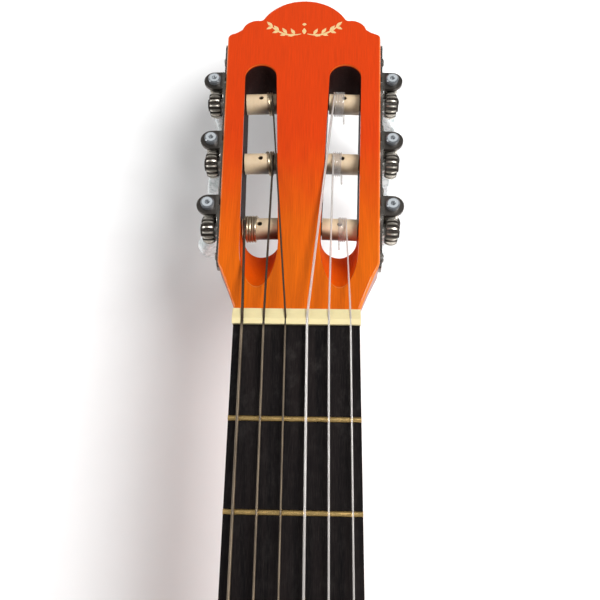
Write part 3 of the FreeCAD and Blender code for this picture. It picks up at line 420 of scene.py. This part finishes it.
def rosette_rings(name):
    recipe = Recipe(name, Roughness=0.30, Coat_Weight=1.0, Coat_Roughness=0.05)
    point = recipe.place((HOLE.x, HOLE.y, 0))
    across, along, _ = recipe.axes(point)
    radius = (across.power(2) + along.power(2)).root()
    angle = recipe.node("ShaderNodeMath", {"operation": "ARCTAN2"}, {0: along, 1: across})
    black, cream, red, green = ((0.012, 0.009, 0.008), (0.80, 0.62, 0.33), (0.33, 0.045, 0.018),
                                (0.045, 0.10, 0.045))
    steps = (angle * (ROSETTE_CHEQUERS / math.tau)).repeat(1)
    rows = ((radius - ROSETTE_MIDDLE) * 0.62).repeat(1)
    chequer = (steps * rows).ramp(-0.004, 0.004)
    lattice = abs((angle * (ROSETTE_DIAMONDS / math.tau)).repeat(1))
    lattice = lattice + abs(radius - ROSETTE_MIDDLE) * 0.13
    lattice = lattice.ramp(0.40, 0.37)
    tone = recipe.blend(chequer, black, cream)
    tone = recipe.blend(lattice * (1 - chequer * 0.35), tone, red)
    for centre, half, colour in ((46.6, 0.7, black), (47.6, 0.35, cream), (48.5, 0.55, green),
                                 (49.3, 0.3, cream), (56.7, 0.3, cream), (57.5, 0.55, green),
                                 (58.4, 0.35, cream), (59.4, 0.7, black)):
        tone = recipe.blend(abs(radius - centre).ramp(half + 0.06, half - 0.02), tone, colour)
    recipe.set(Base_Color=tone)
    return recipe.relief(recipe.noise(point, (2, 2, 2)), 0.01, 0.3)


def dark_binding(name):
    recipe = Recipe(name, Roughness=0.25, Coat_Weight=0.8, Coat_Roughness=0.06)
    point = recipe.place()
    cloud = recipe.noise(point, (0.15, 0.15, 0.15), detail=4)
    recipe.set(Base_Color=recipe.blend(cloud, (0.012, 0.007, 0.006), (0.035, 0.016, 0.011)))
    return recipe.relief(cloud, 0.02, 0.3)


def ivory(name):
    recipe = Recipe(name, Subsurface_Weight=0.08, Subsurface_Radius=(2e-3, 1.2e-3, 6e-4),
                    Specular_IOR_Level=0.45)
    point = recipe.place()
    cloud = recipe.noise(point, (0.22, 0.5, 0.22), detail=4).ramp(0.3, 0.75)
    scratch = recipe.noise(point, (7, 0.5, 2), detail=5, roughness=0.7).ramp(0.55, 0.8)
    pale = Vector(colours().ivory)
    tone = recipe.blend(cloud, tuple(pale), tuple(pale * 0.93))
    recipe.set(Base_Color=recipe.darker(tone, 1 - 0.08 * scratch), Roughness=0.34 + 0.15 * scratch)
    return recipe.relief(scratch, 0.02, 0.4)


def roller_finish(name):
    """Cream plastic on the barrel, with painted shade in its hollow end; steel on the thinner shaft."""
    recipe = Recipe(name, Subsurface_Weight=0.06, Subsurface_Radius=(2e-3, 1.2e-3, 7e-4))
    point = recipe.place(HEAD_ORIGIN, (-HEAD_TILT, 0, 0))
    across, along, out = recipe.axes(point)
    step = (along - FIRST_ROLLER.y / MM).repeat(ROLLER_PITCH / MM)
    radius = (step.power(2) + (out - FIRST_ROLLER.z / MM).power(2)).root()
    cloud = recipe.noise(point, (0.5, 0.5, 0.5), detail=4).ramp(0.3, 0.8)
    grime = recipe.noise(point, (2.2, 0.7, 0.7), detail=6, roughness=0.7).ramp(0.52, 0.8)
    cream = Vector(colours().roller)
    tone = recipe.blend(cloud, tuple(cream), (cream.x * 0.93, cream.y * 0.90, cream.z * 0.84))
    tone = recipe.darker(tone, 1 - 0.22 * grime)
    # Painted shade in the roller's hollow end
    hollow_shade = radius.ramp(*reversed(ROLLER_HOLLOW_SHADE))
    shaft = radius.ramp(*reversed(ROLLER_SHAFT)) * abs(across).ramp(31, 32)
    tone = recipe.blend(hollow_shade * (1 - shaft), tone, (0.10, 0.07, 0.045))
    recipe.set(Base_Color=recipe.blend(shaft, tone, (0.5, 0.48, 0.45)), Metallic=shaft,
               Roughness=0.36 + 0.2 * grime)
    return recipe.relief(grime + cloud * 0.4, 0.025, 0.5)


def machine_radii(recipe, point):
    """Distances from the nearest gear's axis and from the nearest worm's axis."""
    across, along, out = recipe.axes(point)
    pitch = ROLLER_PITCH / MM
    step = (along - FIRST_ROLLER.y / MM).repeat(pitch)
    gear = (step.power(2) + (out - FIRST_ROLLER.z / MM).power(2)).root()
    turn = (along - FIRST_WORM.y / MM).repeat(pitch)
    flare = abs(across) - abs(FIRST_WORM.x) / MM - (along - FIRST_WORM.y / MM) * SIDE_FLARE
    worm = (turn.power(2) + flare.power(2)).root()
    return gear, worm


def nickel(name):
    recipe = Recipe(name, Metallic=1.0)
    point = recipe.place(HEAD_ORIGIN, (-HEAD_TILT, 0, 0))
    across, along, _ = recipe.axes(point)
    tarnish = recipe.noise(point, (0.8, 0.8, 0.8), detail=6, roughness=0.65).ramp(0.4, 0.75)
    brushed = recipe.noise(point, (0.6, 9, 0.6), detail=3)
    plate = Vector(colours().nickel)
    tone = recipe.blend(tarnish, tuple(plate * 1.5), tuple(plate * 0.7))
    lugs = (abs(across) - SIDE_FLARE * along - SIDE_HALF).ramp(1.4, 2.4)
    tone = recipe.blend(lugs * 0.7, tone, (0.075, 0.064, 0.058))
    recipe.set(Base_Color=tone, Roughness=0.16 + 0.20 * tarnish + 0.08 * brushed + 0.12 * lugs)
    return recipe.relief(tarnish + brushed * 0.3, 0.03, 0.5)


def gear_steel(name):
    """Bright teeth and threads with painted shade in their roots; a pale cap with a dimple on each worm, the cap's
    pale colour a painted reflection of its bright metal, with painted shade in the dimple and a dark ring round
    its rim.
    """
    recipe = Recipe(name)
    point = recipe.place(HEAD_ORIGIN, (-HEAD_TILT, 0, 0))
    out = recipe.axes(point)[2]
    gear, worm = machine_radii(recipe, point)
    on_gear = worm.ramp(3.2, 3.5)
    tips = on_gear * gear.ramp(5.2, 6.1)
    threads = (1 - on_gear) * worm.ramp(2.1, 3.0)
    cap = out.ramp(-1.0, -0.8)
    dimple = worm.ramp(1.35, 0.9) * cap
    collar = cap * worm.ramp(2.2, 2.5)
    stem = out.ramp(-17, -17.4)
    # Everything outside the tooth and thread roots; the roots get painted shade
    outside_root_shade = (tips + threads).most(cap.most(stem))
    dirt = recipe.noise(point, (1.5, 1.5, 1.5), detail=6, roughness=0.7).ramp(0.42, 0.7)
    # Painted shade in the tooth and thread roots
    tone = recipe.blend(outside_root_shade, (0.014, 0.010, 0.008), (0.74, 0.70, 0.62))
    tone = recipe.blend(dirt * (1 - cap) * 0.5, tone, (0.13, 0.10, 0.075))
    # Pale cap: bright metal whose reflection is painted in as a pale, mostly non-metallic colour
    tone = recipe.blend(cap, tone, (0.52, 0.56, 0.59))
    # Painted shade in the dimple; a dark ring round the cap's rim
    tone = recipe.blend((collar * 0.85).most(dimple * 0.8), tone, (0.07, 0.075, 0.085))
    recipe.set(Base_Color=tone, Metallic=(0.25 + 0.75 * outside_root_shade) * (1 - 0.7 * cap),
               Roughness=0.36 - 0.22 * cap + 0.1 * dirt)
    return recipe.relief(dirt, 0.04, 0.5)


def pearl(name):
    recipe = Recipe(name, Roughness=0.12, Coat_Weight=1.0, Coat_Roughness=0.03, IOR=1.55,
                    Subsurface_Weight=0.25, Subsurface_Radius=(3e-3, 3e-3, 3e-3))
    point = recipe.place()
    swirl = recipe.noise(point, (0.16, 0.16, 0.3), detail=5, distortion=2.4)
    veil = recipe.noise(point, (0.5, 0.4, 0.5), detail=4, distortion=1.2).ramp(0.42, 0.66)
    body = Vector(colours().pearl)
    deep = (body.x * 0.62, body.y * 0.66, body.z * 0.66)
    tone = recipe.blend(swirl.ramp(0.36, 0.66), tuple(body), deep)
    recipe.set(Base_Color=recipe.blend(veil * 0.6, tone, (0.93, 0.95, 0.97)))
    return recipe.relief(swirl, 0.05, 0.25)


def brass(name):
    recipe = Recipe(name, Metallic=1.0)
    point = recipe.place()
    wear = recipe.noise(point, (0.25, 2.5, 1), detail=5, roughness=0.65).ramp(0.4, 0.7)
    tone = recipe.blend(wear, (0.86, 0.60, 0.24), (0.62, 0.40, 0.15))
    recipe.set(Base_Color=tone, Roughness=0.20 + 0.25 * wear)
    return recipe.relief(wear, 0.03, 0.4)


def wound_wire(name):
    """Fine wire wound round the core: its ridges follow the string's length, with painted shade in the grooves
    between turns and paler crests.
    """
    recipe = Recipe(name, Metallic=0.75)
    point = recipe.place()
    _, along, up = recipe.axes(point)
    wave = recipe.node("ShaderNodeMath", {"operation": "SINE"},
                       {0: (along - up * 0.2) * (math.tau / WIRE_PITCH)})
    ridge = wave * 0.5 + 0.5
    over_board = along.ramp(NUT_LOW.y / MM + 1, NUT_LOW.y / MM - 3)
    dull = recipe.noise(point, (0.6, 0.05, 0.6), detail=5, roughness=0.7).ramp(0.35, 0.75)
    tone = recipe.blend(over_board, (0.058, 0.041, 0.028), (0.30, 0.235, 0.165))
    tone = recipe.blend(dull * 0.5, tone, (0.045, 0.032, 0.023))
    # Painted shade in the grooves between turns, paler crests
    recipe.set(Base_Color=recipe.darker(tone, 0.55 + 0.6 * ridge), Roughness=0.42 - 0.1 * ridge)
    return recipe.relief(ridge, 0.09, 0.8)


def clear_nylon(name):
    recipe = Recipe(name, Roughness=0.13, IOR=1.53, Transmission_Weight=0.62, Coat_Weight=0.5,
                    Coat_Roughness=0.05)
    point = recipe.place()
    cloud = recipe.noise(point, (0.6, 0.08, 0.6), detail=3)
    recipe.set(Base_Color=recipe.blend(cloud, (0.93, 0.90, 0.87), (0.82, 0.76, 0.72)))
    return recipe.relief(cloud, 0.02, 0.3)


def gilt(name):
    recipe = Recipe(name, Roughness=0.36, Metallic=0.25, Coat_Weight=0.6, Coat_Roughness=0.08)
    point = recipe.place(HEAD_ORIGIN, (-HEAD_TILT, 0, 0))
    leaf = recipe.noise(point, (0.9, 0.9, 0.9), detail=5).ramp(0.35, 0.7)
    gold = Vector(colours().gilt)
    recipe.set(Base_Color=recipe.blend(leaf, tuple(gold), tuple(gold * 0.86)))
    return recipe.relief(leaf, 0.02, 0.4)


def clear_turns(name):
    """Nylon turns that let the roller under them show."""
    return clear_nylon(name).set(Alpha=0.5)


FINISHES = {
    "top_wood": spruce, "side_wood": mahogany, "inner_wood": bare_wood, "neck_wood": neck_lacquer,
    "head_lacquer": head_lacquer, "bridge_wood": rosewood, "board_wood": black_board,
    "rosette_inlay": rosette_rings, "binding": dark_binding, "cream_bone": ivory,
    "fret_brass": brass, "tuner_nickel": nickel, "gear_steel": gear_steel,
    "roller_plastic": roller_finish, "pearl_plastic": pearl, "wound_bronze": wound_wire,
    "clear_nylon": clear_nylon,
}
GILT = "gilt_leaf"
CLEAR_TURNS = "clear_turns"


class GUITAR_OT_finishes(bpy.types.Operator):
    """Give every part of the frame its lacquer, metal, plastic or bare wood"""

    bl_idname = "guitar.finishes"
    bl_label = "Finishes"

    def execute(self, context):
        slots = {part["node"]: part["material_slot"] for part in frame["record"]["subparts"]}
        for slot, make in FINISHES.items():
            make(slot).wear([node for node in NODES if slots[node] == slot])
        gilt(GILT)
        clear_turns(CLEAR_TURNS)
        for node in NODES.values():
            smooth(node)
        return {"FINISHED"}


# ---- helpers for new pieces ----

def add_piece(name, mesh, finish, body="root"):
    piece = bpy.data.objects.new(name, mesh)
    bpy.context.scene.collection.objects.link(piece)
    mesh.materials.clear()
    mesh.materials.append(bpy.data.materials[finish])
    smooth(piece)
    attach(piece, body)
    return piece


def tube_mesh(name, strands):
    """Round strands, each a list of points with the strand's radius there, as one mesh."""
    curve = bpy.data.curves.new(name, "CURVE")
    curve.dimensions = "3D"
    curve.bevel_depth = 1
    curve.bevel_resolution = 3
    curve.use_fill_caps = True
    curve.resolution_u = 3
    for strand in strands:
        spline = curve.splines.new("NURBS")
        spline.points.add(len(strand) - 1)
        for control, (point, radius) in zip(spline.points, strand):
            control.co = (*point, 1)
            control.radius = radius
        spline.order_u = 3
        spline.use_endpoint_u = True
    holder = bpy.data.objects.new(name, curve)
    mesh = bpy.data.meshes.new_from_object(holder)
    bpy.data.objects.remove(holder)
    bpy.data.curves.remove(curve)
    shape = bmesh.new()
    shape.from_mesh(mesh)
    bmesh.ops.remove_doubles(shape, verts=shape.verts, dist=1e-7)
    bmesh.ops.recalc_face_normals(shape, faces=shape.faces)
    shape.to_mesh(mesh)
    shape.free()
    return mesh


# ---- strings on their rollers ----

def string_end(name):
    """Middle and radius of the face where a string meets its roller, and the string's heading."""
    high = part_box(name + "_string")[1]
    points = [vertex.co for vertex in NODES[name + "_string"].data.vertices]
    last = [point for point in points if point.y > high.y - 1.5 * MM]
    middle = (Vector([min(point[axis] for point in last) for axis in range(3)])
              + Vector([max(point[axis] for point in last) for axis in range(3)])) / 2
    radius = (max(point.x for point in last) - min(point.x for point in last)) / 2
    over_nut = Vector((0, (NUT_LOW.y + NUT_HIGH.y) / 2, NUT_HIGH.z))
    heading = middle - over_nut
    heading.x = 0
    return middle, radius, heading.normalized()


TURN_STEP = math.radians(15)


def turns_path(name):
    """The string's centre line from the tangent, round its roller and into the roller's hole."""
    joint = JOINTS[name + "_roller_turn"]
    axle, centre = Vector(joint["axis"]), Vector(joint["pos_m"])
    start, radius, heading = string_end(name)
    first = (start - centre).dot(axle)
    arm = start - centre - axle * first
    sense = 1 if axle.cross(arm).dot(heading) > 0 else -1
    low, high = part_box(name + "_winding")
    side = 1 if axle.x > 0 else -1
    across = sorted(((low.x - centre.x) * side, (high.x - centre.x) * side))
    inward = abs(across[0] - first) > abs(across[1] - first)
    last = across[0] + radius if inward else across[1] - radius
    turns = max(1, round(abs(last - first) / (2 * radius)))
    slot_low = in_slot(name)
    hole = (slot_low[0] + slot_low[1]) / 2
    down = -HEAD_NORMAL
    to_hole = (math.atan2(axle.dot(arm.cross(down)), arm.dot(down)) * sense) % math.tau
    whole = turns * math.tau
    end = whole + to_hole + (0 if to_hole > math.pi / 2 else math.tau)
    count = math.ceil(end / TURN_STEP)
    path = []
    for index in range(count + 1):
        angle = end * index / count
        if angle < whole:
            place = first + (last - first) * angle / whole
        else:
            share = (angle - whole) / (end - whole)
            place = last + (hole - last) * (3 * share ** 2 - 2 * share ** 3)
        swing = Matrix.Rotation(sense * angle, 3, axle)
        path.append(centre + axle * place + swing @ arm / math.cos(TURN_STEP / 2))
    return path, radius, centre + axle * hole, arm.length


BARREL_TEST = 4.0 * MM


def in_slot(name):
    """How far the roller's barrel reaches along its axle, from its inner to its outer end."""
    joint = JOINTS[name + "_roller_turn"]
    axle, centre = Vector(joint["axis"]), Vector(joint["pos_m"])
    places = []
    for vertex in NODES[name + "_roller"].data.vertices:
        step = vertex.co - centre
        place = step.dot(axle)
        if (step - axle * place).length > BARREL_TEST:
            places.append(place)
    return min(places), max(places)


class GUITAR_OT_turns(bpy.types.Operator):
    """Wind each string on its roller and lead its end into the roller's hole"""

    bl_idname = "guitar.turns"
    bl_label = "String turns"

    def execute(self, context):
        for name in STRINGS:
            path, radius, hole, reach = turns_path(name)
            thin = radius * 0.995
            strand = [(point, thin) for point in path]
            below = hole - HEAD_NORMAL * reach
            if name in BASSES:
                strand += [(below + HEAD_NORMAL * reach * share, thin) for share in (0.35, 0.9, 1.45)]
            else:
                back = Vector((0, -math.cos(HEAD_TILT), math.sin(HEAD_TILT)))
                long = sizes().tail
                for ahead, fall in ((0.2, 0.12), (0.55, 0.2), (1.0, 0.05)):
                    strand.append((below + back * long * ahead - HEAD_NORMAL * long * fall, thin))
            slot = "wound_bronze" if name in BASSES else "clear_nylon"
            piece = add_piece(name + "_turns", tube_mesh(name + "_turns", [strand]),
                              slot if name in BASSES else CLEAR_TURNS, name + "_capstan")
            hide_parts(name + "_winding")
        return {"FINISHED"}


# ---- knots at the bridge ----

class GUITAR_OT_knots(bpy.types.Operator):
    """Tie each string over the bridge's tie block"""

    bl_idname = "guitar.knots"
    bl_label = "Bridge knots"

    def execute(self, context):
        back, top = BRIDGE_LOW.y, BRIDGE_HIGH.z
        front = back + TIE_BLOCK
        for name in STRINGS:
            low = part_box(name + "_string")[0]
            points = [vertex.co for vertex in NODES[name + "_string"].data.vertices]
            tied = [point for point in points if point.y < low.y + 0.01 * MM]
            across = sum(point.x for point in tied) / len(tied)
            level = sum(point.z for point in tied) / len(tied)
            thick = max(point.x for point in tied) - min(point.x for point in tied)
            off = thick * 0.55
            route = (
                (0, back - 0.1 * MM, level), (0, back - off, level),
                (0.2, back - off * 1.6, level + off), (0.5, back - off, top),
                (0.7, back + off * 1.5, top + off), (0.9, (back + front) / 2, top + off),
                (1.0, front - off, top + off), (1.1, front + off, top - off),
                (0.9, front + 2.2 * MM, level + 2.6 * MM), (0.0, front + 3.0 * MM, level + 0.6 * MM),
                (-1.0, front + 2.0 * MM, level + 2.6 * MM), (-1.2, front + off, top),
                (-1.1, front - 1.5 * MM, top + off), (-0.6, front - 4.5 * MM, top + off * 1.3),
                (0.6, front - 6.5 * MM, top + 3 * off), (1.9, front - 7.5 * MM, top + off * 1.5),
                (2.2, back + 2.5 * MM, top + off), (0.8, back + 1.8 * MM, top + 3 * off),
                (-1.3, back + 1.6 * MM, top + off * 1.4), (-3.1, back + 1.9 * MM, top + off))
            strand = [(Vector((across + shift * thick, y, z)), thick / 2) for shift, y, z in route]
            finish = "wound_bronze" if name in BASSES else "clear_nylon"
            add_piece(name + "_knot", tube_mesh(name + "_knot", [strand]), finish)
        return {"FINISHED"}


# ---- ornament on the head ----

# Millimetres across and along the head, then a share of the stroke or a leaf's lean in degrees.
SPRIG_STEM = ((1.5, 150.4, 0.35), (5, 149.4, 0.8), (10, 150.2, 1), (15, 153.4, 0.8),
              (18.5, 157.6, 0.15))
SPRIG_LEAVES = ((4.6, 150.0, 62), (8.6, 150.6, 58), (12.6, 152.6, 52), (15.8, 155.4, 46))
LEAF_SPREAD, UPPER_LEAF, LOWER_LEAF = 78, 4.4, 3.6
LEAF_WIDTHS = ((0, 0.1), (0.3, 1.5), (0.6, 1.7), (1, 0.08))
BUD_WIDTHS = ((-0.6, 0.1), (-0.2, 1.9), (0.2, 1.9), (0.6, 0.1))
WIDEST = 1.9


class GUITAR_OT_ornament(bpy.types.Operator):
    """Inlay a small gilt sprig below the crest of the head"""

    bl_idname = "guitar.ornament"
    bl_label = "Head ornament"

    def execute(self, context):
        wide, relief = sizes().ornament_stroke, sizes().ornament_relief
        strands = []
        for side in (-1, 1):
            strands.append([(Vector((side * x * MM, y * MM, 0)), wide * share)
                            for x, y, share in SPRIG_STEM])
            for x, y, lean in SPRIG_LEAVES:
                for turn, long in ((lean, UPPER_LEAF), (lean - LEAF_SPREAD, LOWER_LEAF)):
                    angle = math.radians(turn)
                    ahead = Vector((side * math.cos(angle), math.sin(angle), 0))
                    root = Vector((side * x * MM, y * MM, 0))
                    strands.append([(root + ahead * long * MM * share, wide * fat)
                                    for share, fat in LEAF_WIDTHS])
        for y, tall in ((152.2, 3.4), (156.8, 1.6)):
            strands.append([(Vector((0, (y + tall * share) * MM, 0)), wide * fat)
                            for share, fat in BUD_WIDTHS])
        mesh = tube_mesh("head_ornament", strands)
        flat = Matrix.Diagonal((1, 1, relief / wide / WIDEST, 1))
        mesh.transform(HEAD @ flat)
        add_piece("head_ornament", mesh, GILT)
        return {"FINISHED"}


# ---- beads on the tuner plates ----

PLATE_METAL = 1.2 * MM
LOBE = 8.6 * MM
RING_STEPS = 48


class GUITAR_OT_plate_beads(bpy.types.Operator):
    """Raise a bead along the scalloped edge of each tuner plate"""

    bl_idname = "guitar.plate_beads"
    bl_label = "Plate beads"

    def execute(self, context):
        bead = sizes().bead
        for side, names in (("bass", BASSES), ("treble", TREBLES)):
            strands = []
            for name in names:
                gear, peg = (JOINTS[name + kind] for kind in ("_roller_turn", "_peg_turn"))
                axle = Vector(gear["axis"])
                middle = (Vector(gear["pos_m"]) + Vector(peg["pos_m"])) / 2
                middle += axle * ((Vector(gear["pos_m"]) - middle).dot(axle) + PLATE_METAL)
                arm = HEAD_NORMAL * (LOBE - 2.2 * bead)
                strands.append([
                    (middle + Matrix.Rotation(math.tau * index / RING_STEPS, 3, axle) @ arm, bead)
                    for index in range(RING_STEPS + 2)])
            mesh = tube_mesh(side + "_plate_bead", strands)
            add_piece(side + "_plate_bead", mesh, "tuner_nickel")
        return {"FINISHED"}


# ---- stage ----

CAMERA_FROM_NUT = Vector((8.6, -47.7, 268.3)) * MM
CAMERA_TURN = (0.2172, 0.0241, 0.0172)
CAMERA_LENS = 40.6
SKY = 0.29
FLOOR_HALF = 6
# name, place in metres from the head, width in metres, power in watts
LIGHTS = (("key", (0.78, 0.14, 1.15), 0.80, 23), ("side", (-1.30, 0.10, 0.55), 0.60, 8),
          ("tail", (0.90, -1.60, 0.60), 0.90, 12))


class GUITAR_OT_stage(bpy.types.Operator):
    """Set up the floor, the lights and the camera"""

    bl_idname = "guitar.stage"
    bl_label = "Stage"

    def execute(self, context):
        scene = context.scene
        scene.view_settings.view_transform = "Standard"
        shape = bmesh.new()
        bmesh.ops.create_grid(shape, x_segments=1, y_segments=1, size=FLOOR_HALF)
        floor_mesh = bpy.data.meshes.new("floor")
        shape.to_mesh(floor_mesh)
        shape.free()
        floor = bpy.data.objects.new("floor", floor_mesh)
        scene.collection.objects.link(floor)
        paper = Recipe("paper", Roughness=0.9, Specular_IOR_Level=0.1)
        tooth = paper.noise(paper.place(), (0.05, 0.05, 0.05), detail=3)
        paper.set(Base_Color=paper.blend(tooth, (0.93, 0.93, 0.93), (0.90, 0.90, 0.90)))
        floor_mesh.materials.append(paper.material)
        world = bpy.data.worlds.new("studio")
        world.use_nodes = True
        back = world.node_tree.nodes["Background"]
        back.inputs["Color"].default_value = (1, 1, 1, 1)
        back.inputs["Strength"].default_value = SKY
        scene.world = world
        for name, spot, wide, power in LIGHTS:
            light = bpy.data.lights.new(name, "AREA")
            light.shape, light.size, light.energy = "DISK", wide, power
            lamp = bpy.data.objects.new(name, light)
            lamp.location = HEAD_ORIGIN + Vector(spot)
            lamp.rotation_euler = (-Vector(spot)).to_track_quat("-Z", "Y").to_euler()
            scene.collection.objects.link(lamp)
        lens = bpy.data.cameras.new("camera")
        lens.lens, lens.sensor_width, lens.clip_start = CAMERA_LENS, 36, 0.01
        camera = bpy.data.objects.new("camera", lens)
        camera.location = Vector((0, NUT_LOW.y, NUT_LOW.z)) + CAMERA_FROM_NUT
        camera.rotation_euler = CAMERA_TURN
        scene.collection.objects.link(camera)
        scene.camera = camera
        return {"FINISHED"}


OPERATORS = (GUITAR_OT_finishes, GUITAR_OT_turns, GUITAR_OT_knots, GUITAR_OT_ornament,
             GUITAR_OT_plate_beads, GUITAR_OT_stage)


class GUITAR_PT_panel(bpy.types.Panel):
    """Lists the guitar's sizes, colours and steps"""

    bl_idname = "GUITAR_PT_panel"
    bl_label = "Guitar"
    bl_space_type = "VIEW_3D"
    bl_region_type = "UI"
    bl_category = "Guitar"

    def draw(self, context):
        for group in (colours(), sizes()):
            for name in group.__annotations__:
                self.layout.prop(group, name)
        for operator in OPERATORS:
            self.layout.operator(operator.bl_idname)


CLASSES = (GuitarColours, GuitarSizes) + OPERATORS + (GUITAR_PT_panel,)


def register():
    for item in CLASSES:
        bpy.utils.register_class(item)
    bpy.types.Scene.guitar_colours = bpy.props.PointerProperty(type=GuitarColours)
    bpy.types.Scene.guitar_sizes = bpy.props.PointerProperty(type=GuitarSizes)


def unregister():
    del bpy.types.Scene.guitar_sizes
    del bpy.types.Scene.guitar_colours
    for item in reversed(CLASSES):
        bpy.utils.unregister_class(item)


def main():
    register()
    for operator in OPERATORS:
        group, name = operator.bl_idname.split(".")
        getattr(getattr(bpy.ops, group), name)()


if __name__ == "__main__":
    main()
